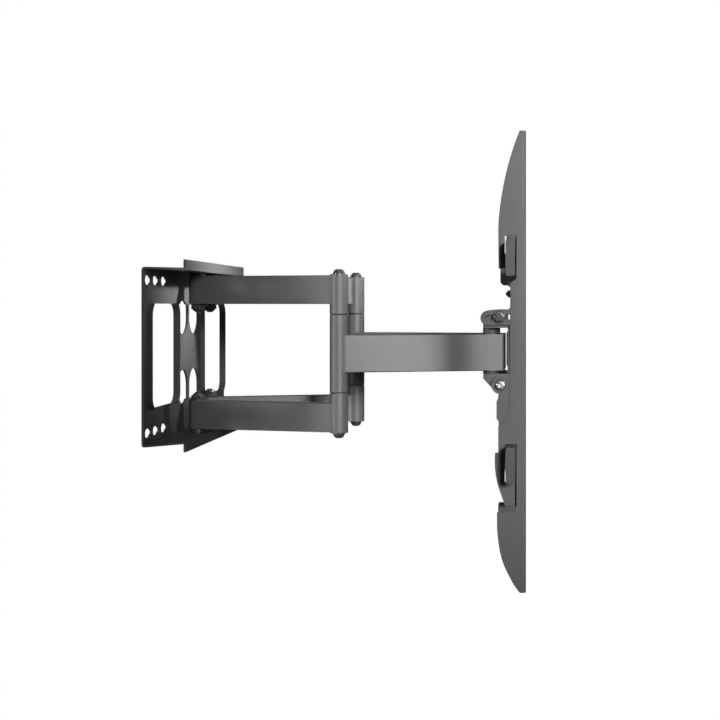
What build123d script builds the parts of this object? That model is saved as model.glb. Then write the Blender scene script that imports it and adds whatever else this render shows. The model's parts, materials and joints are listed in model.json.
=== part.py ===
from build123d import *
import os
from math import cos, radians, sin, sqrt

# A full motion TV wall mount, in millimetres.
# X = 0 is the wall, +X points at the room, Y runs along the wall and Z is up.
# Left is the -Y side and right is the +Y side. The origin is the middle of the wall plate's back.

# Wall plate
sheet = 3.0
plate_width = 418.0
plate_height = 233.0
flange_depth = 45.0
flange_front_width = 332.0
lip_height = 11.0
window_width = 124.0
window_height = 138.0
window_y = 129.0
window_radius = 16.0
rim_height = 6.4
rim_sheet = 2.5
web_opening_y = 28.7
web_opening_z = 49.5
web_opening_radius = 24.5
web_opening_top = 68.0
wall_slot_ys = (121.5, 157.5, 191.0)
wall_slot_z = 99.5
wall_slot_length = 24.0
wall_slot_width = 12.0
nub_width = 5.0
nub_length = 4.0

# Arms: one plan, used for both arms of each side
shoulder_x = 25.5
pivot_y = 33.0
arm_length = 216.3
splay = 14.2
elbow_x = shoulder_x + arm_length * cos(radians(splay))
elbow_y = pivot_y + arm_length * sin(radians(splay))
head_x = shoulder_x + 2 * arm_length * cos(radians(splay))

# Rear arms
rear_tube_bottom = 69.0
rear_tube_top = 108.5
rear_tube_width = 25.0
rear_taper_start = 12.0
rear_taper_end = 6.0
tube_wall = 2.0
barrel_diameter = 25.4
rear_barrel_top = 110.0
barrel_joint_z = 54.0
elbow_flange = 1.0
sleeve_diameter = 16.0

# Forearms
fore_tube_height = 52.0
fore_tube_width = 30.0
fore_taper_start = 9.0
fore_taper_end = 3.6
knuckle_start = arm_length - 9.5
knuckle_radius = 20.0
spigot_length = 18.0
bush_diameter = 16.0
elbow_bush_length = 22.0
head_bush_length = 20.0

# Pins and bolts
running_gap = 0.05
open_pivot_gap = 0.3
elbow_pin_diameter = 12.0
dome_diameter = 17.0
dome_height = 7.0
pivot_bolt_diameter = 10.0
pivot_bolt_head = 17.0
pivot_bolt_head_height = 6.4
pivot_nut_height = 8.4
pivot_washer_height = 1.6
pivot_washer_diameter = 21.0
shoulder_bolt_end_z = 53.5

# Head bracket
head_sheet = 3.5
head_half_width = 53.5
head_back_x = 434.0
head_front_x = 472.0
head_top_z = 38.4
head_bottom_z = -33.3
head_bend = 5.0
ear_top_z = 59.0
ear_slope_z = 45.8
ear_slope_x = 447.2
ear_front_x = 468.3
ear_corner_z = -36.7
head_spacer_diameter = 23.5
stop_pad_x = 466.7
stop_pad_half_width = 30.0

# Tilt joint
tilt_x = 458.5
tilt_z = -45.3
lock_radius = 95.8
lock_angle = -0.9
slot_back_angle = -10.5
slot_front_angle = 6.1
lock_slot_width = 8.7
lock_ear_wall = 6.35
ear_front_angle = 13.0
lock_bolt_diameter = 8.0
tilt_bolt_diameter = 10.0
friction_washer = 1.0
tilt_boss_radius = 13.1
head_boss_radius = 11.9

# Tilt frame
tilt_sheet = 4.0
tilt_inner_y = head_half_width + friction_washer
tilt_outer_y = tilt_inner_y + tilt_sheet
frame_front_x = 485.5
frame_web = 3.0
frame_top_z = 140.0
frame_bottom_z = -143.0
rail_back_x = 469.5
level_z = 83.5
level_y = 36.0
level_bolt_diameter = 6.0

# Rails
rail_half_length = 322.0
rail_depth = 11.5
rail_height = 43.0
rail_sheet = 2.5
rail_zs = {"upper": 123.2, "lower": -124.5}
rail_slot_length = 22.0
rail_slot_width = 8.0
rail_slot_pitch = 40.0
rail_slots_each_side = 6
rail_first_slot_y = 82.0
cap_sheet = 2.5
cap_depth = 12.0

# TV brackets
tv_x = 494.0
bracket_top = 278.0
bracket_bottom = -281.5
bracket_outer_y = 300.0
bracket_width = 38.0
bracket_sheet = 3.0
lip_back_x = 484.0
bracket_bend = 3.0
upper_hook_z = 150.6
lower_hook_z = -101.2
catch_top_z = -177.0
catch_height = 7.1
tv_slot_width = 9.0

# TV bracket outlines in X and Z, from the top down
upper_back = ((486.3, bracket_top), (479.2, 258.9), (470.7, 229.9), (464.7, 200.8), (461.1, 171.8), (460.5, 150))
hook_curve = ((456.5, -112), (456.6, -132), (459.0, -147.2), (463.2, -161), (469.3, catch_top_z))
lower_back = (
    (458.9, -190),
    (459.1, -206),
    (460.9, -222.6),
    (465.1, -241.9),
    (473.5, -261.3),
    (478.9, -271),
    (486.5, bracket_bottom),
)
tv_slot_zs = (235, 165, 70, 0, -70, -215)

parts_folder = "parts"
sides = {"left": -1, "right": 1}


def save(piece, name):
    """Label a finished piece and write its STEP file."""
    piece.part.label = name
    export_step(piece.part, f"{parts_folder}/{name}.step")


def disc(plane, diameter, height, bore=0.0):
    """A round solid or ring that stands on the plane, added to the open part."""
    with BuildSketch(plane) as outline:
        Circle(diameter / 2)
        if bore:
            Circle(bore / 2, mode=Mode.SUBTRACT)
    extrude(outline.sketch, amount=height)


def hole(plane, diameter, depth):
    """A round hole cut into the open part from the plane."""
    with BuildSketch(plane) as outline:
        Circle(diameter / 2)
    extrude(outline.sketch, amount=depth, mode=Mode.SUBTRACT)


def hexagon(plane, across_flats, height, bore=0.0):
    """A hexagonal head or nut that stands on the plane, added to the open part."""
    with BuildSketch(plane) as outline:
        RegularPolygon(across_flats / 2, 6, major_radius=False)
        if bore:
            Circle(bore / 2, mode=Mode.SUBTRACT)
    extrude(outline.sketch, amount=height)


def upward(x, y, z, way=1):
    """A level plane at a point, facing up, or down where way is -1."""
    return Plane(origin=(x, y, z), x_dir=(1, 0, 0), z_dir=(0, 0, way))


def sideways(x, y, z, way):
    """An upright plane at a point, facing along +Y or -Y."""
    return Plane(origin=(x, y, z), x_dir=(way, 0, 0), z_dir=(0, way, 0))


def along_arm(x, y, angle, z):
    """A level plane whose x runs along an arm."""
    direction = (cos(radians(angle)), sin(radians(angle)), 0)
    return Plane(origin=(x, y, z), x_dir=direction, z_dir=(0, 0, 1))


shoulder_points = [(shoulder_x, side * pivot_y, way) for side in (-1, 1) for way in (-1, 1)]


# ------------------------------------------------------------------ wall side
def wall_slot(y, z):
    """One wall slot with the small notch in the end that faces the middle of the plate."""
    toward_middle = -1 if y > 0 else 1
    with Locations((y, z)):
        SlotOverall(wall_slot_length, wall_slot_width, mode=Mode.SUBTRACT)
    with Locations((y + toward_middle * (wall_slot_length + nub_length - 1) / 2, z)):
        Rectangle(nub_length + 1, nub_width, mode=Mode.SUBTRACT)


def web_opening(y, up):
    """One opening beside the middle of the plate: square at the outer end, round at the inner end."""
    with Locations((y, up * web_opening_z)):
        Circle(web_opening_radius, mode=Mode.SUBTRACT)
    straight = web_opening_top - web_opening_z
    with Locations((y, up * (web_opening_z + straight / 2))):
        Rectangle(2 * web_opening_radius, straight, mode=Mode.SUBTRACT)


def make_wall_plate():
    flange_z = plate_height / 2
    with BuildPart() as wall_plate:
        with BuildSketch(Plane.YZ):
            Rectangle(plate_width, plate_height)
            with Locations((window_y, 0), (-window_y, 0)):
                RectangleRounded(window_width, window_height, window_radius, mode=Mode.SUBTRACT)
            for side in (-1, 1):
                for up in (-1, 1):
                    web_opening(side * web_opening_y, up)
                    for y in wall_slot_ys:
                        wall_slot(side * y, up * wall_slot_z)
        extrude(amount=sheet)
        # window rims: only the upright edges are turned forward
        with BuildSketch(Plane.YZ.offset(sheet)):
            with Locations((window_y, 0), (-window_y, 0)):
                RectangleRounded(
                    window_width + 2 * rim_sheet,
                    window_height + 2 * rim_sheet,
                    window_radius + rim_sheet,
                )
                RectangleRounded(window_width, window_height, window_radius, mode=Mode.SUBTRACT)
                Rectangle(window_width - window_radius, 2 * window_height, mode=Mode.SUBTRACT)
        extrude(amount=rim_height)
        # flanges and their out-turned lips
        for up in (-1, 1):
            inner = flange_z - sheet if up > 0 else -flange_z
            with BuildSketch(Plane.XY.offset(inner)):
                Polygon(
                    (0, -plate_width / 2),
                    (flange_depth, -flange_front_width / 2),
                    (flange_depth, flange_front_width / 2),
                    (0, plate_width / 2),
                    align=None,
                )
            extrude(amount=sheet)
            with BuildSketch(Plane.YZ.offset(flange_depth - sheet)):
                with Locations((0, up * (flange_z + (lip_height - sheet) / 2))):
                    Rectangle(flange_front_width, lip_height + sheet)
            extrude(amount=sheet)
        long_edges = wall_plate.edges().filter_by(Axis.Y).group_by(Axis.X)[0]
        back_bends = [edge for edge in long_edges if abs(edge.center().Z) > flange_z - 0.01]
        fillet(back_bends, sheet + 1.5)
        for x, y, way in shoulder_points:
            hole(upward(x, y, way * (flange_z + 1), -way), pivot_bolt_diameter + 0.4, sheet + 2)
    save(wall_plate, "wall_plate")


def make_shoulder_hardware():
    flange_outer = plate_height / 2
    flange_inner = flange_outer - sheet
    with BuildPart() as bolts:
        for x, y, way in shoulder_points:
            hexagon(upward(x, y, way * flange_outer, way), pivot_bolt_head, pivot_bolt_head_height)
            disc(
                upward(x, y, way * flange_outer, -way),
                pivot_bolt_diameter,
                flange_outer - shoulder_bolt_end_z,
            )
    save(bolts, "shoulder_bolts")
    with BuildPart() as spacers:
        for x, y, way in shoulder_points:
            disc(
                upward(x, y, way * rear_tube_top, way),
                pivot_washer_diameter,
                flange_inner - rear_tube_top,
                pivot_bolt_diameter,
            )
    save(spacers, "shoulder_spacers")
    with BuildPart() as washers:
        for x, y, way in shoulder_points:
            disc(
                upward(x, y, way * rear_tube_bottom, -way),
                pivot_washer_diameter,
                pivot_washer_height,
                pivot_bolt_diameter,
            )
    save(washers, "shoulder_washers")
    with BuildPart() as nuts:
        for x, y, way in shoulder_points:
            nut_z = way * (rear_tube_bottom - pivot_washer_height)
            hexagon(upward(x, y, nut_z, -way), pivot_bolt_head, pivot_nut_height, pivot_bolt_diameter)
    save(nuts, "shoulder_nuts")


# ------------------------------------------------------------------ rear arms
def half_chord(offset):
    """Half the width of an elbow barrel at a distance from its axis."""
    return sqrt((barrel_diameter / 2) ** 2 - offset**2)


def tapered_end(wide_x, wide_half, narrow_x, narrow_half):
    """The end of a tube that narrows to meet its barrel, added to the open sketch."""
    Polygon(
        (wide_x, -wide_half),
        (narrow_x, -narrow_half),
        (narrow_x, narrow_half),
        (wide_x, wide_half),
        align=None,
    )


def rear_tube_plan(wall):
    """A rear tube's outline seen from above, or its hollow where wall is above zero."""
    half_width = rear_tube_width / 2 - wall
    straight = arm_length - rear_taper_start
    Circle(half_width)
    Rectangle(straight, 2 * half_width, align=(Align.MIN, Align.CENTER))
    end = arm_length - rear_taper_end
    tapered_end(straight, half_width, end, half_chord(rear_taper_end) - wall)


def fore_tube_plan(wall):
    """A forearm tube's outline seen from above, or its hollow where wall is above zero."""
    half_width = fore_tube_width / 2 - wall
    with Locations((fore_taper_start, 0)):
        Rectangle(knuckle_start - fore_taper_start, 2 * half_width, align=(Align.MIN, Align.CENTER))
    tapered_end(fore_taper_start, half_width, fore_taper_end, half_chord(fore_taper_end) - wall)


def make_rear_arm(word, side):
    shoulder_y = side * pivot_y
    elbow = (elbow_x, side * elbow_y)
    tube_height = rear_tube_top - rear_tube_bottom
    for level, way in (("upper", 1), ("lower", -1)):
        low_z = rear_tube_bottom if way > 0 else -rear_tube_top
        start = along_arm(shoulder_x, shoulder_y, side * splay, low_z)
        inside = start.offset(tube_wall)
        with BuildPart() as tube:
            with BuildSketch(start):
                rear_tube_plan(0)
            extrude(amount=tube_height)
            with BuildSketch(inside):
                rear_tube_plan(tube_wall)
            extrude(amount=tube_height - 2 * tube_wall, mode=Mode.SUBTRACT)
            hole(upward(shoulder_x, shoulder_y, low_z), sleeve_diameter, tube_height)
            hole(upward(*elbow, low_z), barrel_diameter, tube_height)
        save(tube, f"rear_{level}_tube_{word}")
        with BuildPart() as barrel:
            disc(
                upward(*elbow, way * (barrel_joint_z + elbow_flange / 2), way),
                barrel_diameter,
                rear_barrel_top - barrel_joint_z - elbow_flange / 2,
                elbow_pin_diameter,
            )
            rims = barrel.edges().filter_by(GeomType.CIRCLE).group_by(SortBy.RADIUS)[-1]
            chamfer(rims, 0.8)
        save(barrel, f"rear_{level}_barrel_{word}")
    with BuildPart() as sleeves:
        for way in (-1, 1):
            disc(
                upward(shoulder_x, shoulder_y, way * rear_tube_bottom, way),
                sleeve_diameter,
                tube_height,
                pivot_bolt_diameter + 2 * running_gap,
            )
    save(sleeves, f"shoulder_sleeves_{word}")
    make_elbow_pin(word, elbow)


def dome(plane, diameter, height, flat=1.5):
    """A button head with a short straight rim and a rounded crown."""
    with BuildSketch(plane) as base:
        Circle(diameter / 2)
    extrude(base.sketch, amount=flat)
    with BuildSketch(plane.offset(flat)) as crown:
        Circle(diameter / 2)
    extrude(crown.sketch, amount=height - flat)


def make_elbow_pin(word, elbow):
    with BuildPart() as pin:
        dome(upward(*elbow, -rear_barrel_top, -1), dome_diameter, dome_height)
        disc(upward(*elbow, -rear_barrel_top), elbow_pin_diameter, 2 * rear_barrel_top + dome_height - 3)
        crown = pin.edges().filter_by(GeomType.CIRCLE).sort_by(Axis.Z)[0]
        fillet(crown, dome_height - 2)
    save(pin, f"elbow_pin_{word}")
    with BuildPart() as cap:
        dome(upward(*elbow, rear_barrel_top), dome_diameter, dome_height)
        crown = cap.edges().filter_by(GeomType.CIRCLE).sort_by(Axis.Z)[-1]
        fillet(crown, dome_height - 2)
        hole(upward(*elbow, rear_barrel_top), elbow_pin_diameter, dome_height - 3)
    save(cap, f"elbow_cap_{word}")


# ------------------------------------------------------------------- forearms
def make_forearm(word, side):
    elbow = (elbow_x, side * elbow_y)
    head = (head_x, side * pivot_y)
    half_height = fore_tube_height / 2
    start = along_arm(*elbow, -side * splay, -half_height)
    barrel_half = barrel_joint_z - elbow_flange / 2
    with BuildPart() as tube:
        with BuildSketch(start):
            fore_tube_plan(0)
        extrude(amount=fore_tube_height)
        with BuildSketch(start.offset(tube_wall)):
            fore_tube_plan(tube_wall)
        extrude(amount=fore_tube_height - 2 * tube_wall, mode=Mode.SUBTRACT)
        hole(upward(*elbow, -half_height), barrel_diameter, fore_tube_height)
        straight_length = knuckle_start - fore_taper_start
        long_edges = tube.edges().filter_by(lambda edge: abs(edge.length - straight_length) < 0.01)
        outer_edges = [edge for edge in long_edges if abs(abs(edge.center().Z) - half_height) < 0.01]
        fillet(outer_edges, 1.6)
    save(tube, f"forearm_tube_{word}")
    with BuildPart() as barrel:
        disc(upward(*elbow, -barrel_half), barrel_diameter, 2 * barrel_half, bush_diameter)
        rims = barrel.edges().filter_by(GeomType.CIRCLE).group_by(SortBy.RADIUS)[-1]
        chamfer(rims, 0.8)
    save(barrel, f"forearm_barrel_{word}")
    with BuildPart() as bushes:
        for way in (-1, 1):
            disc(
                upward(*elbow, way * barrel_half, -way),
                bush_diameter,
                elbow_bush_length,
                elbow_pin_diameter + 2 * running_gap,
            )
            disc(
                upward(*elbow, way * barrel_half, way),
                barrel_diameter - 1,
                elbow_flange,
                elbow_pin_diameter + 2 * running_gap,
            )
    save(bushes, f"elbow_bushes_{word}")
    with BuildPart() as knuckle:
        with BuildSketch(start):
            with Locations((arm_length, 0)):
                Circle(knuckle_radius)
            with Locations((knuckle_start, 0)):
                Rectangle(
                    2 * knuckle_radius,
                    fore_tube_width,
                    align=(Align.MIN, Align.CENTER),
                    mode=Mode.INTERSECT,
                )
        extrude(amount=fore_tube_height)
        with BuildSketch(start.offset(tube_wall)):
            with Locations((knuckle_start, 0)):
                Rectangle(
                    spigot_length,
                    fore_tube_width - 2 * tube_wall,
                    align=(Align.MAX, Align.CENTER),
                )
        extrude(amount=fore_tube_height - 2 * tube_wall)
        hole(upward(*head, -half_height), bush_diameter, fore_tube_height)
    save(knuckle, f"forearm_knuckle_{word}")
    gap = open_pivot_gap if side > 0 else running_gap
    with BuildPart() as head_bushes:
        for way in (-1, 1):
            disc(
                upward(*head, way * half_height, -way),
                bush_diameter,
                head_bush_length,
                pivot_bolt_diameter + 2 * gap,
            )
    save(head_bushes, f"head_bushes_{word}")


# ----------------------------------------------------------------------- head
head_points = [(head_x, -pivot_y), (head_x, pivot_y)]


def is_front_bend(edge):
    """True for the two outer edges where the head bracket's flanges meet its front."""
    middle = edge.center()
    at_front = abs(middle.X - head_front_x) < 0.01
    return at_front and min(abs(middle.Z - head_top_z), abs(middle.Z - head_bottom_z)) < 0.01


def make_head_bracket():
    middle_x = (head_back_x + head_front_x) / 2
    flange_top = head_bottom_z + head_sheet
    lock_x, lock_z = lock_point()
    with BuildPart() as bracket:
        for z, way in ((head_top_z, -1), (head_bottom_z, 1)):
            with BuildSketch(upward(middle_x, 0, z, way)) as plan:
                Rectangle(head_front_x - head_back_x, 2 * head_half_width)
                fillet(plan.vertices().group_by(Axis.X)[0], 8)
            extrude(amount=head_sheet)
        with BuildSketch(Plane.YZ.offset(head_front_x - head_sheet)):
            with Locations((0, (head_top_z + head_bottom_z) / 2)):
                Rectangle(2 * head_half_width, head_top_z - head_bottom_z)
        extrude(amount=head_sheet)
        for side in (-1, 1):
            with BuildSketch(Plane.XZ.offset(-side * head_half_width)):
                with BuildLine():
                    FilletPolyline(
                        (head_back_x, head_top_z - head_sheet),
                        (head_back_x, ear_slope_z),
                        (ear_slope_x, ear_top_z),
                        (ear_front_x, ear_top_z),
                        (ear_front_x, head_top_z - head_sheet),
                        radius=4,
                        close=False,
                    )
                    Line((ear_front_x, head_top_z - head_sheet), (head_back_x, head_top_z - head_sheet))
                make_face()
            extrude(amount=side * head_sheet)
            with BuildSketch(Plane.XZ.offset(-side * head_half_width)):
                with BuildLine():
                    CenterArc((tilt_x, tilt_z), head_boss_radius, 0, 360)
                    Line((head_back_x, ear_corner_z), (head_back_x, flange_top))
                    Line((head_front_x - head_bend, flange_top), (head_front_x - head_bend, tilt_z))
                make_hull()
            extrude(amount=side * head_sheet)
        front_bends = bracket.edges().filter_by(Axis.Y).filter_by(is_front_bend)
        fillet(front_bends, head_bend)
        with BuildSketch(Plane.XZ):
            Polygon(
                (head_front_x - head_sheet, 30.5),
                (stop_pad_x, 27),
                (stop_pad_x, -18),
                (head_front_x - head_sheet, -21.5),
                align=None,
            )
        extrude(amount=stop_pad_half_width, both=True)
        for x, y in head_points:
            hole(upward(x, y, head_top_z + 1, -1), pivot_bolt_diameter, head_top_z - head_bottom_z + 2)
        for side in (-1, 1):
            hole(sideways(tilt_x, side * (head_half_width + 1), tilt_z, -side), tilt_bolt_diameter, 6)
            hole(sideways(lock_x, side * (head_half_width + 1), lock_z, -side), lock_bolt_diameter, 6)
    save(bracket, "head_bracket")


def lock_point():
    """Where the tilt lock bolts cross the ears, in X and Z."""
    angle = radians(lock_angle)
    return tilt_x + lock_radius * sin(angle), tilt_z + lock_radius * cos(angle)


def make_head_hardware():
    half = fore_tube_height / 2
    top_inner = head_top_z - head_sheet
    bottom_inner = head_bottom_z + head_sheet
    with BuildPart() as bolts:
        for x, y in head_points:
            hexagon(upward(x, y, head_top_z), pivot_bolt_head, pivot_bolt_head_height)
            disc(upward(x, y, head_top_z, -1), pivot_bolt_diameter, head_top_z - head_bottom_z + 11)
    save(bolts, "head_bolts")
    with BuildPart() as spacers:
        for x, y in head_points:
            disc(upward(x, y, half), head_spacer_diameter, top_inner - half, pivot_bolt_diameter)
            disc(upward(x, y, -half, -1), head_spacer_diameter, -bottom_inner - half, pivot_bolt_diameter)
    save(spacers, "head_spacers")
    with BuildPart() as nuts:
        for x, y in head_points:
            hexagon(upward(x, y, head_bottom_z, -1), pivot_bolt_head, pivot_nut_height, pivot_bolt_diameter)
    save(nuts, "head_nuts")


# ----------------------------------------------------------------- tilt joint
def make_tilt_hardware():
    lock_x, lock_z = lock_point()
    ear_inner = head_half_width - head_sheet
    with BuildPart() as pivot_bolts:
        for side in (-1, 1):
            disc(sideways(tilt_x, side * (tilt_outer_y + 1.8), tilt_z, side), 12.4, 5.2)
            disc(
                sideways(tilt_x, side * (tilt_outer_y + 1.8), tilt_z, -side),
                tilt_bolt_diameter,
                tilt_outer_y - ear_inner + 9.8,
            )
    save(pivot_bolts, "tilt_pivot_bolts")
    with BuildPart() as pivot_washers:
        for side in (-1, 1):
            disc(sideways(tilt_x, side * (tilt_outer_y + 0.2), tilt_z, side), 16.6, 1.6, tilt_bolt_diameter)
    save(pivot_washers, "tilt_pivot_washers")
    with BuildPart() as pivot_nuts:
        for side in (-1, 1):
            hexagon(sideways(tilt_x, side * ear_inner, tilt_z, -side), 14, 6, tilt_bolt_diameter)
    save(pivot_nuts, "tilt_pivot_nuts")
    with BuildPart() as lock_bolts:
        for side in (-1, 1):
            hexagon(sideways(lock_x, side * (tilt_outer_y + 1.8), lock_z, side), 13, 5.5)
            disc(
                sideways(lock_x, side * (tilt_outer_y + 1.8), lock_z, -side),
                lock_bolt_diameter,
                tilt_outer_y - ear_inner + 10,
            )
    save(lock_bolts, "tilt_lock_bolts")
    with BuildPart() as lock_washers:
        for side in (-1, 1):
            disc(sideways(lock_x, side * (tilt_outer_y + 0.2), lock_z, side), 18.5, 1.6, lock_bolt_diameter)
    save(lock_washers, "tilt_lock_washers")
    with BuildPart() as lock_nuts:
        for side in (-1, 1):
            hexagon(sideways(lock_x, side * ear_inner, lock_z, -side), 13, 6, lock_bolt_diameter)
    save(lock_nuts, "tilt_lock_nuts")
    with BuildPart() as pads:
        for side in (-1, 1):
            pad = friction_washer - 0.1
            disc(sideways(tilt_x, side * head_half_width, tilt_z, side), 22, pad, tilt_bolt_diameter)
            disc(sideways(lock_x, side * head_half_width, lock_z, side), 20, pad, lock_bolt_diameter)
    save(pads, "tilt_friction_washers")


# ----------------------------------------------------------------- tilt frame
def make_tilt_frame():
    neck_x = 472.5
    step_z = 96.9
    seat_x = 458.5
    ear_arc = lock_arc(slot_back_angle, ear_front_angle)
    slot_arc = lock_arc(slot_back_angle, slot_front_angle)
    for word, side in sides.items():
        with BuildPart() as side_plate:
            with BuildSketch(Plane.XZ.offset(-side * tilt_outer_y)):
                with BuildLine():
                    FilletPolyline(
                        (seat_x, frame_top_z),
                        (rail_back_x, frame_top_z),
                        (rail_back_x, 100.5),
                        (frame_front_x, 95),
                        (frame_front_x, -94),
                        (rail_back_x, -101),
                        (rail_back_x, frame_bottom_z),
                        (456.4, frame_bottom_z),
                        (456, -96.5),
                        (452.9, -93),
                        (453, -69),
                        (457.5, -59),
                        (tilt_x, tilt_z + tilt_boss_radius),
                        (neck_x, tilt_z + tilt_boss_radius),
                        (neck_x, step_z - 5),
                        (neck_x - 4.5, step_z),
                        (seat_x, step_z),
                        radius=3.5,
                        close=True,
                    )
                make_face()
                with Locations((tilt_x, tilt_z)):
                    Circle(tilt_boss_radius)
                    SlotArc(ear_arc, lock_slot_width + 2 * lock_ear_wall)
                    SlotArc(slot_arc, lock_slot_width, mode=Mode.SUBTRACT)
                    Circle(tilt_bolt_diameter / 2 + running_gap, mode=Mode.SUBTRACT)
            extrude(amount=side * tilt_sheet)
            lobe_top = tilt_z + lock_radius + lock_slot_width / 2 + lock_ear_wall
            corner = Vector(neck_x, side * (tilt_outer_y - tilt_sheet / 2), lobe_top - 1.5)
            fillet(side_plate.edges().filter_by(Axis.Y).sort_by_distance(corner)[0], 5)
        save(side_plate, f"tilt_side_{word}")
    with BuildPart() as face_plate:
        with BuildSketch(Plane.YZ.offset(frame_front_x - frame_web)):
            Rectangle(2 * tilt_inner_y, 184)
            RectangleRounded(60, 80, 12, mode=Mode.SUBTRACT)
            with Locations((-level_y, level_z), (level_y, level_z)):
                Circle(level_bolt_diameter / 2, mode=Mode.SUBTRACT)
        extrude(amount=frame_web)
    save(face_plate, "tilt_face_plate")


def lock_arc(start_angle, end_angle):
    """The lock slot's middle line about the tilt pivot, by angles from straight up."""
    return CenterArc((0, 0), lock_radius, 90 - end_angle, end_angle - start_angle)


def make_level_screws():
    with BuildPart() as screws:
        for side in (-1, 1):
            front = Plane(origin=(frame_front_x, side * level_y, level_z), z_dir=(1, 0, 0))
            back = Plane(origin=(frame_front_x, side * level_y, level_z), z_dir=(-1, 0, 0))
            hexagon(front, 10, 4)
            disc(back, level_bolt_diameter, 20)
    save(screws, "level_screws")
    with BuildPart() as nuts:
        for side in (-1, 1):
            nut_plane = Plane(origin=(473.5, side * level_y, level_z), z_dir=(-1, 0, 0))
            hexagon(nut_plane, 10, 5, level_bolt_diameter)
            disc(nut_plane.offset(-1.5), 14, 1.5, level_bolt_diameter)
    save(nuts, "level_nuts")


# ---------------------------------------------------------------------- rails
def make_rail(level, middle_z):
    outer = Plane.XZ.offset(rail_half_length)
    with BuildPart() as rail:
        with BuildSketch(outer):
            with Locations((rail_back_x, middle_z)):
                Rectangle(rail_depth, rail_height, align=(Align.MIN, Align.CENTER))
            with Locations((rail_back_x + rail_sheet, middle_z)):
                Rectangle(
                    rail_depth,
                    rail_height - 2 * rail_sheet,
                    align=(Align.MIN, Align.CENTER),
                    mode=Mode.SUBTRACT,
                )
        extrude(amount=-2 * rail_half_length)
        bends = rail.edges().filter_by(Axis.Y).group_by(Axis.X)[0]
        fillet(bends, 2.2)
        with BuildSketch(Plane.YZ.offset(rail_back_x - 1)):
            for side in (-1, 1):
                for index in range(rail_slots_each_side):
                    with Locations((side * (rail_first_slot_y + index * rail_slot_pitch), middle_z)):
                        SlotOverall(rail_slot_length, rail_slot_width)
        extrude(amount=rail_sheet + 2, mode=Mode.SUBTRACT)
    save(rail, f"{level}_rail")


def make_rail_caps():
    with BuildPart() as caps:
        for middle_z in rail_zs.values():
            for side in (-1, 1):
                with BuildSketch(Plane.XZ.offset(-side * rail_half_length)):
                    with Locations((rail_back_x + rail_depth / 2, middle_z)):
                        RectangleRounded(rail_depth, rail_height, 2.2)
                extrude(amount=-side * cap_sheet)
                with BuildSketch(Plane.XZ.offset(-side * rail_half_length)):
                    with Locations((rail_back_x + rail_sheet, middle_z)):
                        Rectangle(
                            rail_depth - rail_sheet - 1,
                            rail_height - 2 * rail_sheet,
                            align=(Align.MIN, Align.CENTER),
                        )
                extrude(amount=side * cap_depth)
    save(caps, "rail_end_caps")


# ---------------------------------------------------------------- TV brackets
def make_tv_bracket(word, side):
    notch_back = rail_back_x - 1.1
    notch_front = rail_back_x + rail_depth + 1.4
    catch_bottom_z = catch_top_z - catch_height
    latch_top_z = rail_zs["lower"] - rail_height / 2 - 1.2
    height = bracket_top - bracket_bottom
    middle_z = (bracket_top + bracket_bottom) / 2
    inner_y = bracket_outer_y - bracket_width
    with BuildPart() as bracket:
        with BuildSketch(Plane.XZ.offset(-side * bracket_outer_y)):
            with BuildLine():
                Spline(*upper_back)
                Polyline(upper_back[-1], (461, 111), (notch_back, 111), (notch_back, upper_hook_z))
                Polyline(
                    (notch_back, upper_hook_z),
                    (notch_front, upper_hook_z),
                    (notch_front, 99),
                    (475, 94),
                    (474, -66),
                    (460.4, -80),
                    (460.4, -112),
                    hook_curve[0],
                )
                Spline(*hook_curve[:3])
                Polyline(
                    hook_curve[2],
                    (notch_back, latch_top_z),
                    (notch_back, lower_hook_z),
                    (notch_front, lower_hook_z),
                    (notch_front, catch_bottom_z),
                    (lower_back[0][0], catch_bottom_z),
                )
                Line((lower_back[0][0], catch_bottom_z), lower_back[0])
                Spline(*lower_back)
                Polyline(lower_back[-1], (tv_x, bracket_bottom), (tv_x, bracket_top), upper_back[0])
            make_face()
        extrude(amount=side * bracket_sheet)
        with BuildSketch(Plane.YZ.offset(tv_x - bracket_sheet)):
            with Locations((side * (bracket_outer_y - bracket_width / 2), middle_z)):
                Rectangle(bracket_width, height)
            with Locations((side * (bracket_outer_y - bracket_width / 2), 0)):
                for slot_z in tv_slot_zs:
                    with Locations((0, slot_z)):
                        SlotOverall(54, tv_slot_width, rotation=90, mode=Mode.SUBTRACT)
        extrude(amount=bracket_sheet)
        with BuildSketch(Plane.XY.offset(bracket_bottom + 12)):
            with Locations(((lip_back_x + tv_x) / 2, side * (inner_y + 1.25))):
                Rectangle(tv_x - lip_back_x, 2.5)
        extrude(amount=height - 24)
        front_edges = bracket.edges().filter_by(Axis.Z).group_by(Axis.X)[-1]
        bend = [edge for edge in front_edges if abs(abs(edge.center().Y) - bracket_outer_y) < 0.01]
        fillet(bend, bracket_bend)
    save(bracket, f"tv_bracket_{word}")
    make_hook_parts(word, side, notch_front, latch_top_z, catch_bottom_z)


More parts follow.
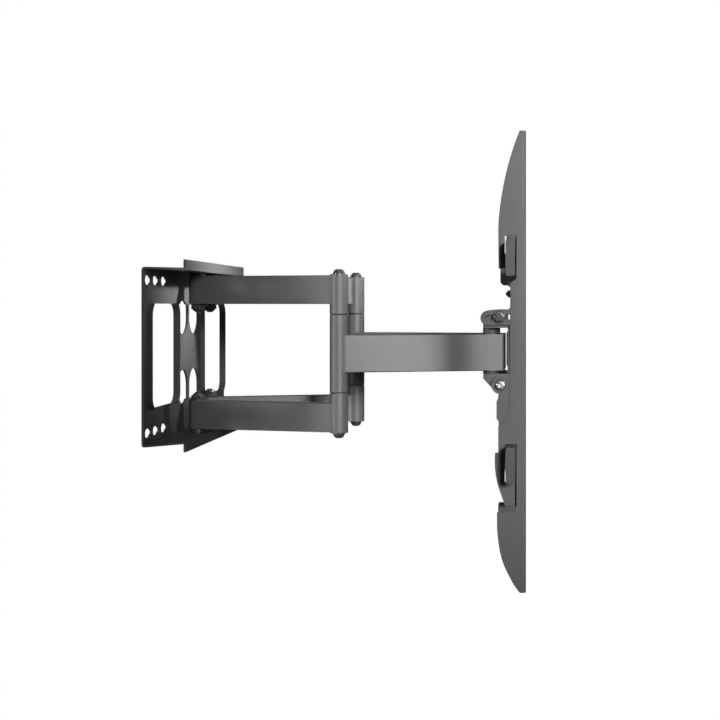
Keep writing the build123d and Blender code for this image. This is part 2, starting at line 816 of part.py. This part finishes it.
def make_hook_parts(word, side, notch_front, latch_top_z, catch_bottom_z):
    """The pad in the upper hook, the latch under the lower rail, its catch block and its screw."""
    pad_bottom_z = rail_zs["upper"] + rail_height / 2 + 0.2
    latch_front_x = notch_front - 1.8
    middle_y = side * (bracket_outer_y - bracket_width / 2 + 0.5)
    with BuildPart() as pad:
        with BuildSketch(Plane.XY.offset(pad_bottom_z)):
            with Locations((477, side * (bracket_outer_y - 17))):
                Rectangle(9.5, 35)
        extrude(amount=upper_hook_z - pad_bottom_z)
    save(pad, f"hook_pad_{word}")
    with BuildPart() as latch:
        with BuildSketch(Plane.XZ.offset(-side * bracket_outer_y)):
            with BuildLine():
                Spline(*hook_curve[2:])
                Polyline(
                    hook_curve[-1],
                    (latch_front_x, catch_top_z),
                    (latch_front_x, latch_top_z),
                    (rail_back_x, latch_top_z),
                    hook_curve[2],
                )
            make_face()
        extrude(amount=side * bracket_sheet)
    save(latch, f"safety_latch_{word}")
    with BuildPart() as catch:
        with BuildSketch(Plane.XY.offset(catch_bottom_z + 0.1)):
            with Locations(((460.3 + notch_front - 0.2) / 2, side * (bracket_outer_y - 17))):
                RectangleRounded(notch_front - 0.2 - 460.3, 34.8, 1.2)
        extrude(amount=catch_height - 0.1)
        hole(upward(472, middle_y, catch_bottom_z - 1), 6, catch_height + 2)
    save(catch, f"safety_catch_{word}")
    with BuildPart() as screw:
        disc(upward(472, middle_y, catch_bottom_z + 0.1, -1), 14, 9)
        disc(upward(472, middle_y, catch_bottom_z + 0.1), 6, catch_height - 0.1)
        knob = screw.edges().filter_by(GeomType.CIRCLE).group_by(SortBy.RADIUS)[-1]
        chamfer(knob, 0.8)
    save(screw, f"safety_screw_{word}")


os.makedirs(parts_folder, exist_ok=True)
make_wall_plate()
make_shoulder_hardware()
for side_name, side_sign in sides.items():
    make_rear_arm(side_name, side_sign)
    make_forearm(side_name, side_sign)
    make_tv_bracket(side_name, side_sign)
make_head_bracket()
make_head_hardware()
make_tilt_hardware()
make_tilt_frame()
make_level_screws()
for rail_level, rail_z in rail_zs.items():
    make_rail(rail_level, rail_z)
make_rail_caps()
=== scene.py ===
"""Looks for a full motion TV wall mount: powder-coated steel, zinc hardware and nylon bushes.

Everything is in metres, in the part's own frame: X = 0 is the wall, +X points at the room, Y runs
along the wall and Z is up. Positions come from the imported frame.
"""
import json
import math

import bmesh
import bpy
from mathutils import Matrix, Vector


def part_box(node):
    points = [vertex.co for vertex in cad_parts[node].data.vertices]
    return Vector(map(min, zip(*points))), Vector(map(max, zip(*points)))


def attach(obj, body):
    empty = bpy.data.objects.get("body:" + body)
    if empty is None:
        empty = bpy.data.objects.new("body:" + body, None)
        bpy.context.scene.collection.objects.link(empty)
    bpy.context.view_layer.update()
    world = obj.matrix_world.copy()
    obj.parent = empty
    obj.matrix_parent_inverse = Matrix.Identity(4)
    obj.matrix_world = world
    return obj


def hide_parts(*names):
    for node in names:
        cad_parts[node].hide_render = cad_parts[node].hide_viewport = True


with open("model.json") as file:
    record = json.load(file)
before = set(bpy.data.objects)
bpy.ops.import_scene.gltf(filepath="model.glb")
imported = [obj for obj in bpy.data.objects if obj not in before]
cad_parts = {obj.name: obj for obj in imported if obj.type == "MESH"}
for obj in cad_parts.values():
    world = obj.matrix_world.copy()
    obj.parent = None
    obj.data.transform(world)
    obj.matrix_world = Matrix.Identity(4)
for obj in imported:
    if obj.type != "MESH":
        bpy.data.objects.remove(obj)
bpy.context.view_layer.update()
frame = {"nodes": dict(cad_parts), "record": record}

MM = 0.001
SIDES = ("left", "right")
UP = Vector((0, 0, 1))
DOWN = Vector((0, 0, -1))
NEAR = Vector((0, -1, 0))
TOWARD_ROOM = Vector((1, 0, 0))
JOINTS = {
    joint["name"]: Vector(joint["pos_m"])
    for joint in frame["record"]["behaviour"]["joints"]
    if "pos_m" in joint
}
NODE_SLOT = {part["node"]: part["material_slot"] for part in frame["record"]["subparts"]}

# Sockets of the colour mix node, which has several of the same name
MIX_FACTOR = 0
MIX_FIRST = 6
MIX_SECOND = 7
MIX_RESULT = 2

# Rounded edges and smoothing of the carried nodes
EDGE_WIDTH = 0.35 * MM
EDGE_ANGLE = math.radians(32)
WELD_DISTANCE = 0.002 * MM
SMOOTH_ANGLE = math.radians(34)
FLAT_WEIGHT = 100

# Turned pieces, in mm; a thread's depth is a share of its pitch
SEGMENTS = 72
KNURL_EVERY = 3
BEAD_SIDES = 16
THREAD_DEPTH = 0.54
PIVOT_RADIUS = 5.0
PIVOT_THREAD = 4.95
PIVOT_PITCH = 1.5
PIVOT_APOTHEM = 8.5
PIVOT_HEAD_HEIGHT = 6.4
PIVOT_NUT_HEIGHT = 8.4
CAP_RADIUS = 8.5
CAP_HEIGHT = 7.0
CAP_SOCKET = 2.6
ELBOW_PIN_RADIUS = 6.0
LOCK_APOTHEM = 6.5
LOCK_HEAD_HEIGHT = 5.5
LOCK_RADIUS = 4
LOCK_THREAD = 3.95
LOCK_PITCH = 1.25
TILT_BOLT_PAST_NUT = 8
LEVEL_APOTHEM = 5.0
LEVEL_HEAD_HEIGHT = 4.0
LEVEL_RADIUS = 3
LEVEL_THREAD = 2.95
LEVEL_PITCH = 1.0
LEVEL_NUT_RADIUS = 7.0
WELD_RADIUS = 1.25
WELD_RIPPLE = 0.3
WELD_PITCH = 2.2
WELD_END_GAP = 0.6
SINK = 0.1

# Stage, in metres; a light is its name, place, target, width, height, watts and spread in degrees
DOME_RADIUS = 9.0
AMBIENT = 0.06
LIGHTS = (
    ("key", (0.95, -1.6, 0.45), (0.36, -0.1, 0.03), 0.45, 0.9, 2.1, 21),
    ("side", (-1.0, -0.85, 0.1), (0.38, -0.05, 0), 0.2, 1.0, 0.45, 17),
    ("top", (0.4, -0.3, 1.7), (0.3, 0, 0), 1.2, 1.2, 2.2, 180),
    ("room", (2.0, 0.6, 0.4), (0.2, 0, 0), 0.9, 1.2, 1.3, 180),
    ("plate", (1.5, 0.1, 0.9), (0.055, 0, 0.15), 0.2, 0.2, 0.9, 11),
    ("behind", (0.2, 1.9, 0.5), (0.3, 0, 0), 1.4, 1.2, 1.2, 180),
)
CAMERA_LENS = 60.55
CAMERA_SENSOR = 36.0
CAMERA_SHIFT = (-0.2264, -0.0736)
CAMERA_DISTANCE = 1.765
CAMERA_HEIGHT = 0.0645
CAMERA_BEHIND_TV = 3.6 * MM


# ------------------------------------------------------------------ materials
class Nodes:
    """A short way to build a material's node tree, with its pattern fixed to the object."""

    def __init__(self, name):
        self.material = bpy.data.materials.new(name)
        self.material.use_nodes = True
        self.tree = self.material.node_tree
        self.shader = self.tree.nodes["Principled BSDF"]
        self.place = self.add("ShaderNodeTexCoord")

    def add(self, kind, **settings):
        node = self.tree.nodes.new(kind)
        for key, value in settings.items():
            if key in node.inputs:
                node.inputs[key].default_value = value
            else:
                setattr(node, key, value)
        return node

    def link(self, source, output, target, socket):
        self.tree.links.new(source.outputs[output], target.inputs[socket])

    def noise(self, scale, detail, roughness):
        node = self.add("ShaderNodeTexNoise", Scale=scale, Detail=detail, Roughness=roughness)
        self.link(self.place, "Object", node, "Vector")
        return node

    def ramp(self, source, *stops):
        node = self.add("ShaderNodeValToRGB")
        elements = node.color_ramp.elements
        elements[0].position, elements[0].color = stops[0][0], (*stops[0][1], 1)
        elements[1].position, elements[1].color = stops[-1][0], (*stops[-1][1], 1)
        for position, colour in stops[1:-1]:
            elements.new(position).color = (*colour, 1)
        self.link(source, "Fac", node, "Fac")
        return node

    def roughen(self, source, low, high):
        """Roughness from low to high with the middle of a noise."""
        node = self.add("ShaderNodeMapRange")
        node.inputs["From Min"].default_value = 0.3
        node.inputs["From Max"].default_value = 0.7
        node.inputs["To Min"].default_value = low
        node.inputs["To Max"].default_value = high
        self.link(source, "Fac", node, "Value")
        self.link(node, "Result", self.shader, "Roughness")

    def bump(self, source, output, strength, distance, before=None):
        node = self.add("ShaderNodeBump", Strength=strength, Distance=distance)
        self.link(source, output, node, "Height")
        if before is not None:
            self.link(before, "Normal", node, "Normal")
        return node


def grey(value, warmth=0.0):
    return (value * (1 + warmth), value, value * (1 - warmth))


def powder_coat(name, tone, roughness):
    """Fine-texture powder coat: tiny domed grains over orange peel, with slight shade changes."""
    m = Nodes(name)
    grains = m.add("ShaderNodeTexVoronoi", Scale=1350.0, Randomness=1.0)
    m.link(m.place, "Object", grains, "Vector")
    peel = m.noise(scale=420.0, detail=3.0, roughness=0.55)
    fine = m.noise(scale=2600.0, detail=2.0, roughness=0.6)
    cloud = m.noise(scale=9.0, detail=3.0, roughness=0.5)
    shade = m.ramp(cloud, (0.3, grey(tone * 0.9)), (0.7, grey(tone * 1.1)))
    speck = m.ramp(fine, (0.35, grey(0.78)), (0.62, grey(1.22)))
    mix = m.add("ShaderNodeMix", data_type="RGBA", blend_type="MULTIPLY")
    mix.inputs[MIX_FACTOR].default_value = 1.0
    m.link(shade, "Color", mix, MIX_FIRST)
    m.link(speck, "Color", mix, MIX_SECOND)
    m.link(mix, MIX_RESULT, m.shader, "Base Color")
    m.roughen(peel, roughness - 0.05, roughness + 0.07)
    first = m.bump(peel, "Fac", 0.22, 0.12 * MM)
    second = m.bump(grains, "Distance", 0.28, 0.09 * MM, first)
    third = m.bump(fine, "Fac", 0.18, 0.06 * MM, second)
    m.link(third, "Normal", m.shader, "Normal")
    return m.material


def zinc(name, tone, roughness):
    """Bright zinc plate: fine turning marks and cloudy passivation."""
    m = Nodes(name)
    cloud = m.noise(scale=160.0, detail=4.0, roughness=0.6)
    marks = m.noise(scale=2200.0, detail=2.0, roughness=0.5)
    dark = grey(tone * 0.8, 0.02)
    bright = grey(tone * 1.12, -0.02)
    shade = m.ramp(cloud, (0.3, dark), (0.5, grey(tone)), (0.72, bright))
    m.link(shade, "Color", m.shader, "Base Color")
    m.shader.inputs["Metallic"].default_value = 1.0
    m.roughen(cloud, roughness - 0.06, roughness + 0.1)
    normal = m.bump(marks, "Fac", 0.12, 0.04 * MM)
    m.link(normal, "Normal", m.shader, "Normal")
    return m.material


def black_hardware(name, tone, roughness):
    """Black-plated bolts: a smooth dark film with a slight metallic sheen."""
    m = Nodes(name)
    cloud = m.noise(scale=220.0, detail=3.0, roughness=0.55)
    marks = m.noise(scale=1800.0, detail=2.0, roughness=0.5)
    shade = m.ramp(cloud, (0.3, grey(tone * 0.75)), (0.7, grey(tone * 1.3)))
    m.link(shade, "Color", m.shader, "Base Color")
    m.shader.inputs["Metallic"].default_value = 0.55
    m.roughen(cloud, roughness - 0.06, roughness + 0.08)
    normal = m.bump(marks, "Fac", 0.15, 0.05 * MM)
    m.link(normal, "Normal", m.shader, "Normal")
    return m.material


def nylon(name, tone, roughness):
    """Moulded nylon: an even matte skin with a fine spark texture."""
    m = Nodes(name)
    spark = m.noise(scale=1500.0, detail=3.0, roughness=0.65)
    cloud = m.noise(scale=40.0, detail=2.0, roughness=0.5)
    shade = m.ramp(cloud, (0.3, grey(tone * 0.85)), (0.7, grey(tone * 1.15)))
    m.link(shade, "Color", m.shader, "Base Color")
    m.roughen(spark, roughness - 0.06, roughness + 0.06)
    normal = m.bump(spark, "Fac", 0.3, 0.06 * MM)
    m.link(normal, "Normal", m.shader, "Normal")
    return m.material


MATERIALS = {
    "black_steel": powder_coat("black_powder_coat", 0.05, 0.46),
    "arm_steel": powder_coat("arm_powder_coat", 0.085, 0.47),
    "black_hardware": black_hardware("black_plated_steel", 0.09, 0.25),
    "zinc_hardware": zinc("bright_zinc", 0.66, 0.27),
    "black_nylon": nylon("moulded_nylon", 0.03, 0.55),
}


# -------------------------------------------------------------- carried nodes
def dress(name):
    """Gives a carried node its material and small rounded edges that catch the light."""
    node = frame["nodes"][name]
    node.data.materials.clear()
    node.data.materials.append(MATERIALS[NODE_SLOT[name]])
    for polygon in node.data.polygons:
        polygon.use_smooth = True
        polygon.material_index = 0
    weld = node.modifiers.new("weld", "WELD")
    weld.merge_threshold = WELD_DISTANCE
    bevel = node.modifiers.new("edges", "BEVEL")
    bevel.width = EDGE_WIDTH
    bevel.segments = 2
    bevel.limit_method = "ANGLE"
    bevel.angle_limit = EDGE_ANGLE
    bevel.harden_normals = True
    bevel.use_clamp_overlap = True
    flats = node.modifiers.new("flats", "WEIGHTED_NORMAL")
    flats.mode = "FACE_AREA"
    flats.weight = FLAT_WEIGHT


for node_name in frame["nodes"]:
    dress(node_name)


# ------------------------------------------------------------- turned pieces
def hex_radius(angle, apothem):
    """Radius of a hexagon at an angle from the middle of one flat."""
    folded = (math.degrees(angle) + 30) % 60 - 30
    return apothem / math.cos(math.radians(folded))


class Turned:
    """A mesh made of turned, hexagonal and knurled pieces, kept as one object."""

    def __init__(self):
        self.bm = bmesh.new()

    def lathe(self, point, axis, rings):
        """Rings are (height, radius, apothem, knurl) in mm; an apothem makes a hexagon."""
        across = NEAR if axis.cross(UP).length == 0 else UP
        side = axis.cross(across)
        loops = []
        for height, radius, apothem, knurl in rings:
            loop = []
            for step in range(SEGMENTS):
                angle = 2 * math.pi * step / SEGMENTS
                reach = radius
                if apothem:
                    reach = min(radius, hex_radius(angle, apothem))
                if knurl and step % KNURL_EVERY == 0:
                    reach -= knurl
                outward = across * math.cos(angle) + side * math.sin(angle)
                loop.append(self.bm.verts.new(point + axis * height * MM + outward * reach * MM))
            loops.append(loop)
        self.skin(loops)

    def bead(self, start, end, radius, ripple, pitch, outward):
        """A weld bead: a rippled half-round rib from start to end."""
        along = (end - start).normalized()
        side = along.cross(outward)
        length = (end - start).length
        count = max(8, int(length / (pitch * MM / 8)))
        loops = []
        for row in range(count + 1):
            t = row / count
            wave = abs(math.cos(math.pi * t * length / (pitch * MM)))
            ends = min(1.0, 0.35 + 6 * min(t, 1 - t))
            reach = (radius - ripple * wave) * ends * MM
            middle = start + along * (t * length)
            angles = [2 * math.pi * step / BEAD_SIDES for step in range(BEAD_SIDES)]
            loops.append([
                self.bm.verts.new(middle + reach * (outward * math.cos(a) + side * math.sin(a)))
                for a in angles
            ])
        self.skin(loops)

    def skin(self, loops):
        """Joins closed loops into a tube with a flat face at each end."""
        for below, above in zip(loops, loops[1:]):
            for step in range(len(below)):
                after = (step + 1) % len(below)
                self.bm.faces.new((below[step], below[after], above[after], above[step]))
        self.bm.faces.new(list(reversed(loops[0])))
        self.bm.faces.new(loops[-1])

    def place(self, name, body, slot, stands_for=()):
        """Makes the object, which rides on a body and may stand for carried nodes."""
        bmesh.ops.recalc_face_normals(self.bm, faces=self.bm.faces)
        mesh = bpy.data.meshes.new(name)
        self.bm.to_mesh(mesh)
        self.bm.free()
        for polygon in mesh.polygons:
            polygon.use_smooth = True
        mesh.set_sharp_from_angle(angle=SMOOTH_ANGLE)
        mesh.materials.append(MATERIALS[slot])
        piece = bpy.data.objects.new(name, mesh)
        bpy.context.scene.collection.objects.link(piece)
        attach(piece, body)
        if stands_for:
            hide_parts(*stands_for)

    def stand_in(self, node, body):
        """Takes the place of one carried node, with its finish."""
        self.place(f"{node}_detail", body, NODE_SLOT[node], [node])


def plain(height, radius):
    return (height, radius, 0, 0)


def thread(start, end, radius, pitch):
    """Rings of a screw thread between two heights."""
    rings = []
    step = pitch / 2 if end > start else -pitch / 2
    height = start
    outer = False
    while abs(end - height) > abs(step):
        height += step
        outer = not outer
        rings.append(plain(height, radius if outer else radius - THREAD_DEPTH * pitch))
    return rings


def hex_head(apothem, height):
    """A hexagonal bolt head with a washer face, a chamfered top and a shallow dish."""
    corner = apothem / math.cos(math.radians(30))
    return [
        plain(0, apothem * 0.96),
        plain(0.35, apothem * 0.97),
        (0.4, corner, apothem, 0),
        (height - 1.5, corner, apothem, 0),
        (height - 0.7, corner * 0.965, apothem, 0),
        (height - 0.12, apothem * 0.95, apothem, 0),
        plain(height, apothem * 0.88),
        plain(height, apothem * 0.66),
        plain(height - 0.35, apothem * 0.6),
    ]


def lock_nut(apothem, height):
    """A hexagonal nut with a rounded locking collar."""
    corner = apothem / math.cos(math.radians(30))
    collar = height * 0.72
    return [
        plain(0, apothem * 0.93),
        (0.6, corner, apothem, 0),
        (collar - 0.7, corner, apothem, 0),
        (collar, apothem * 0.98, apothem, 0),
        plain(collar + 0.05, apothem * 0.86),
        plain(height - 0.8, apothem * 0.84),
        plain(height - 0.2, apothem * 0.78),
        plain(height, apothem * 0.7),
        plain(height, apothem * 0.5),
    ]


def button(radius, height, socket):
    """A domed head with a hexagonal socket."""
    return [
        plain(0, radius * 0.97),
        plain(0.25, radius),
        plain(height * 0.2, radius),
        plain(height * 0.26, radius * 0.95),
        plain(height * 0.48, radius * 0.89),
        plain(height * 0.7, radius * 0.78),
        plain(height * 0.88, radius * 0.64),
        plain(height * 0.98, radius * 0.5),
        plain(height, radius * 0.44),
        (height, socket * 1.2, socket, 0),
        (height * 0.45, socket * 1.2, socket, 0),
    ]


def pivot_bolts(bolt_node, nut_node, body, spots, ways, past_nut, point):
    """Upright bolts with lock nuts; past_nut and point are the thread's free end and its tip."""
    head_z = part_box(bolt_node)[1].z - PIVOT_HEAD_HEIGHT * MM
    nut_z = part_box(nut_node)[1].z
    grip = (head_z - nut_z) / MM
    plain_end = -(grip - 1)
    tip = -(grip + PIVOT_NUT_HEIGHT + past_nut)
    shank = [plain(0, PIVOT_RADIUS), plain(plain_end, PIVOT_RADIUS)]
    threads = thread(plain_end, tip, PIVOT_THREAD, PIVOT_PITCH)
    end = [plain(tip, 4.2), plain(tip - point, 3.6)]
    bolts = Turned()
    nuts = Turned()
    for spot in spots:
        for way in ways:
            seat = Vector((spot.x, spot.y, way * head_z))
            bolts.lathe(seat, UP * way, hex_head(PIVOT_APOTHEM, PIVOT_HEAD_HEIGHT))
            bolts.lathe(seat, UP * way, shank + threads + end)
            nut_seat = Vector((spot.x, spot.y, way * nut_z))
            nuts.lathe(nut_seat, DOWN * way, lock_nut(PIVOT_APOTHEM, PIVOT_NUT_HEIGHT))
    bolts.stand_in(bolt_node, body)
    nuts.stand_in(nut_node, body)


def build_bolts():
    """Bolts at the shoulders, above and below, and at the two head pivots."""
    shoulders = [JOINTS[f"{word}_shoulder"] for word in SIDES]
    head = JOINTS["left_head_pivot"]
    heads = [head, Vector((head.x, -head.y, head.z))]
    pivot_bolts("shoulder_bolts", "shoulder_nuts", "root", shoulders, (1, -1), 1.8, 0.4)
    pivot_bolts("head_bolts", "head_nuts", "head", heads, (1,), 2.2, 0.3)


def build_elbow_ends():
    """A domed cap on top of each elbow, and a pin with a matching head below."""
    for word in SIDES:
        elbow = JOINTS[f"{word}_elbow"]
        cap_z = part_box(f"elbow_cap_{word}")[0].z
        body = f"rear_arm_{word}"
        dome = button(CAP_RADIUS, CAP_HEIGHT, CAP_SOCKET)
        cap = Turned()
        cap.lathe(Vector((elbow.x, elbow.y, cap_z)), UP, dome)
        cap.stand_in(f"elbow_cap_{word}", body)
        pin = Turned()
        seat = Vector((elbow.x, elbow.y, -cap_z))
        pin.lathe(seat, DOWN, dome)
        shank = [plain(SINK, ELBOW_PIN_RADIUS), plain(-2 * cap_z / MM, ELBOW_PIN_RADIUS)]
        pin.lathe(seat, DOWN, shank)
        pin.stand_in(f"elbow_pin_{word}", body)


def build_tilt_bolts():
    """Round-headed pivot bolts and hexagonal lock bolts, one of each per side."""
    tilt = JOINTS["tilt"]
    washer_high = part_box("tilt_pivot_washers")[1]
    lock_low, lock_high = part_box("tilt_lock_washers")
    nut_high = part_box("tilt_lock_nuts")[1]
    lock_middle = (lock_low + lock_high) / 2
    reach = (washer_high.y - nut_high.y) / MM + TILT_BOLT_PAST_NUT
    pivot_head = [
        plain(0, 5.9), plain(0.3, 6.2), plain(3.4, 6.2), plain(4.0, 5.95), plain(4.05, 5.3),
        plain(4.6, 5.1), plain(5.1, 4.5), plain(5.2, 3.9), (5.2, 3.5, 3.0, 0), (2.6, 3.5, 3.0, 0),
    ]
    pivot_shank = [plain(SINK, PIVOT_RADIUS), plain(-reach, PIVOT_RADIUS)]
    thread_start = -TILT_BOLT_PAST_NUT
    lock_shank = [plain(SINK, LOCK_RADIUS), plain(thread_start, LOCK_RADIUS)]
    lock_shank += thread(thread_start, -reach - 1, LOCK_THREAD, LOCK_PITCH)
    pivot = Turned()
    lock = Turned()
    for way in (-1, 1):
        axis = Vector((0, way, 0))
        pivot_seat = Vector((tilt.x, way * washer_high.y, tilt.z))
        pivot.lathe(pivot_seat, axis, pivot_head)
        pivot.lathe(pivot_seat, axis, pivot_shank)
        lock_seat = Vector((lock_middle.x, way * lock_high.y, lock_middle.z))
        lock.lathe(lock_seat, axis, hex_head(LOCK_APOTHEM, LOCK_HEAD_HEIGHT))
        lock.lathe(lock_seat, axis, lock_shank)
    pivot.stand_in("tilt_pivot_bolts", "head")
    lock.stand_in("tilt_lock_bolts", "head")


def build_level_hardware():
    """Levelling screws, with knurled flange nuts behind the tilt frame."""
    low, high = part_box("level_screws")
    nut_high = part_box("level_nuts")[1]
    face_x = high.x - LEVEL_HEAD_HEIGHT * MM
    middle_z = (low.z + high.z) / 2
    spread_y = nut_high.y - LEVEL_NUT_RADIUS * MM
    length = (face_x - low.x) / MM
    shank = [plain(SINK, LEVEL_RADIUS), plain(-3, LEVEL_RADIUS)]
    shank += thread(-3, -length + 0.4, LEVEL_THREAD, LEVEL_PITCH)
    nut = [
        plain(0, 6.7), (0.2, LEVEL_NUT_RADIUS, 0, 0.35), (1.2, LEVEL_NUT_RADIUS, 0, 0.35),
        plain(1.5, 6.2), plain(2.0, 5.4), (2.1, 5.77, 5.0, 0), (5.6, 5.77, 5.0, 0),
        plain(6.4, 4.6), plain(6.5, 3.2),
    ]
    screws = Turned()
    nuts = Turned()
    for way in (-1, 1):
        seat = Vector((face_x, way * spread_y, middle_z))
        screws.lathe(seat, TOWARD_ROOM, hex_head(LEVEL_APOTHEM, LEVEL_HEAD_HEIGHT))
        screws.lathe(seat, TOWARD_ROOM, shank)
        nuts.lathe(Vector((nut_high.x, way * spread_y, middle_z)), -TOWARD_ROOM, nut)
    screws.stand_in("level_screws", "tilt_frame")
    nuts.stand_in("level_nuts", "tilt_frame")


def build_safety_screws():
    """Knurled thumb screws under the safety catches."""
    for word in SIDES:
        node = f"safety_screw_{word}"
        low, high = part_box(node)
        middle = (low + high) / 2
        knob = Turned()
        knob.lathe(Vector((middle.x, middle.y, low.z)), UP, [
            plain(0, 5.6), plain(0.5, 6.4), (0.9, 7.0, 0, 0.45), (7.4, 7.0, 0, 0.45),
            plain(7.9, 6.2), plain(8.2, 4.4), plain(9.0, 4.2), plain(9.0, 3.0),
            plain((high.z - low.z) / MM, 3.0),
        ])
        knob.stand_in(node, f"tv_bracket_{word}")


def weld_tubes(body, tubes, elbow, far, barrel, back_off):
    """Upright beads on both sides of the tubes, where they enter a barrel."""
    low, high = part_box(barrel)
    radius = (high.x - low.x) / 2
    along = Vector((far.x - elbow.x, far.y - elbow.y, 0)).normalized()
    across = Vector((-along.y, along.x, 0))
    half = math.sqrt(radius ** 2 - (back_off * MM) ** 2)
    welds = Turned()
    for tube in tubes:
        tube_low, tube_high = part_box(tube)
        for way in (-1, 1):
            spot = elbow + along * (back_off + 0.3) * MM + across * way * (half - 0.35 * MM)
            start = Vector((spot.x, spot.y, tube_low.z + WELD_END_GAP * MM))
            end = Vector((spot.x, spot.y, tube_high.z - WELD_END_GAP * MM))
            welds.bead(start, end, WELD_RADIUS, WELD_RIPPLE, WELD_PITCH, across * way)
    welds.place(f"{body}_welds", body, NODE_SLOT[tubes[0]])


def build_welds():
    """Beads where the arm tubes meet the elbow barrels."""
    head = JOINTS["left_head_pivot"]
    for word in SIDES:
        elbow = JOINTS[f"{word}_elbow"]
        rear_tubes = [f"rear_upper_tube_{word}", f"rear_lower_tube_{word}"]
        shoulder = JOINTS[f"{word}_shoulder"]
        weld_tubes(f"rear_arm_{word}", rear_tubes, elbow, shoulder, f"rear_upper_barrel_{word}", 6.0)
        far = Vector((head.x, math.copysign(head.y, elbow.y), 0))
        barrel = f"forearm_barrel_{word}"
        weld_tubes(f"forearm_{word}", [f"forearm_tube_{word}"], elbow, far, barrel, 3.6)


build_bolts()
build_elbow_ends()
build_tilt_bolts()
build_level_hardware()
build_safety_screws()
build_welds()


# ---------------------------------------------------------------------- stage
def soft_light(name, place, target, width, height, power, spread):
    data = bpy.data.lights.new(name, "AREA")
    data.shape = "RECTANGLE"
    data.size = width
    data.size_y = height
    data.energy = power
    data.spread = math.radians(spread)
    lamp = bpy.data.objects.new(name, data)
    lamp.location = place
    lamp.rotation_euler = (Vector(target) - Vector(place)).to_track_quat("-Z", "Y").to_euler()
    bpy.context.scene.collection.objects.link(lamp)


def build_stage():
    """A white dome that only the camera sees, a dim surround and soft studio light."""
    bm = bmesh.new()
    bmesh.ops.create_icosphere(bm, subdivisions=4, radius=DOME_RADIUS)
    mesh = bpy.data.meshes.new("studio_dome")
    bm.to_mesh(mesh)
    bm.free()
    dome = bpy.data.objects.new("studio_dome", mesh)
    paper = Nodes("studio_white")
    paper.shader.inputs["Base Color"].default_value = (0, 0, 0, 1)
    paper.shader.inputs["Roughness"].default_value = 1.0
    paper.shader.inputs["Emission Color"].default_value = (1, 1, 1, 1)
    paper.shader.inputs["Emission Strength"].default_value = 1.0
    mesh.materials.append(paper.material)
    bpy.context.scene.collection.objects.link(dome)
    dome.visible_diffuse = False
    dome.visible_glossy = False
    dome.visible_transmission = False
    dome.visible_shadow = False
    world = bpy.data.worlds.new("studio")
    world.use_nodes = True
    surround = world.node_tree.nodes["Background"]
    surround.inputs["Color"].default_value = (1, 1, 1, 1)
    surround.inputs["Strength"].default_value = AMBIENT
    bpy.context.scene.world = world
    for light in LIGHTS:
        soft_light(*light)


def place_camera():
    """Level camera by the television plane, with the frame shifted towards the wall."""
    tv_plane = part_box("tv_bracket_left")[1].x
    data = bpy.data.cameras.new("camera")
    data.lens = CAMERA_LENS
    data.sensor_width = CAMERA_SENSOR
    data.shift_x, data.shift_y = CAMERA_SHIFT
    camera = bpy.data.objects.new("camera", data)
    behind_tv = tv_plane - CAMERA_BEHIND_TV
    camera.location = (behind_tv, -CAMERA_DISTANCE, CAMERA_HEIGHT)
    camera.rotation_euler = (math.radians(90), 0, 0)
    bpy.context.scene.collection.objects.link(camera)
    bpy.context.scene.camera = camera


build_stage()
place_camera()
bpy.context.scene.view_settings.view_transform = "Standard"
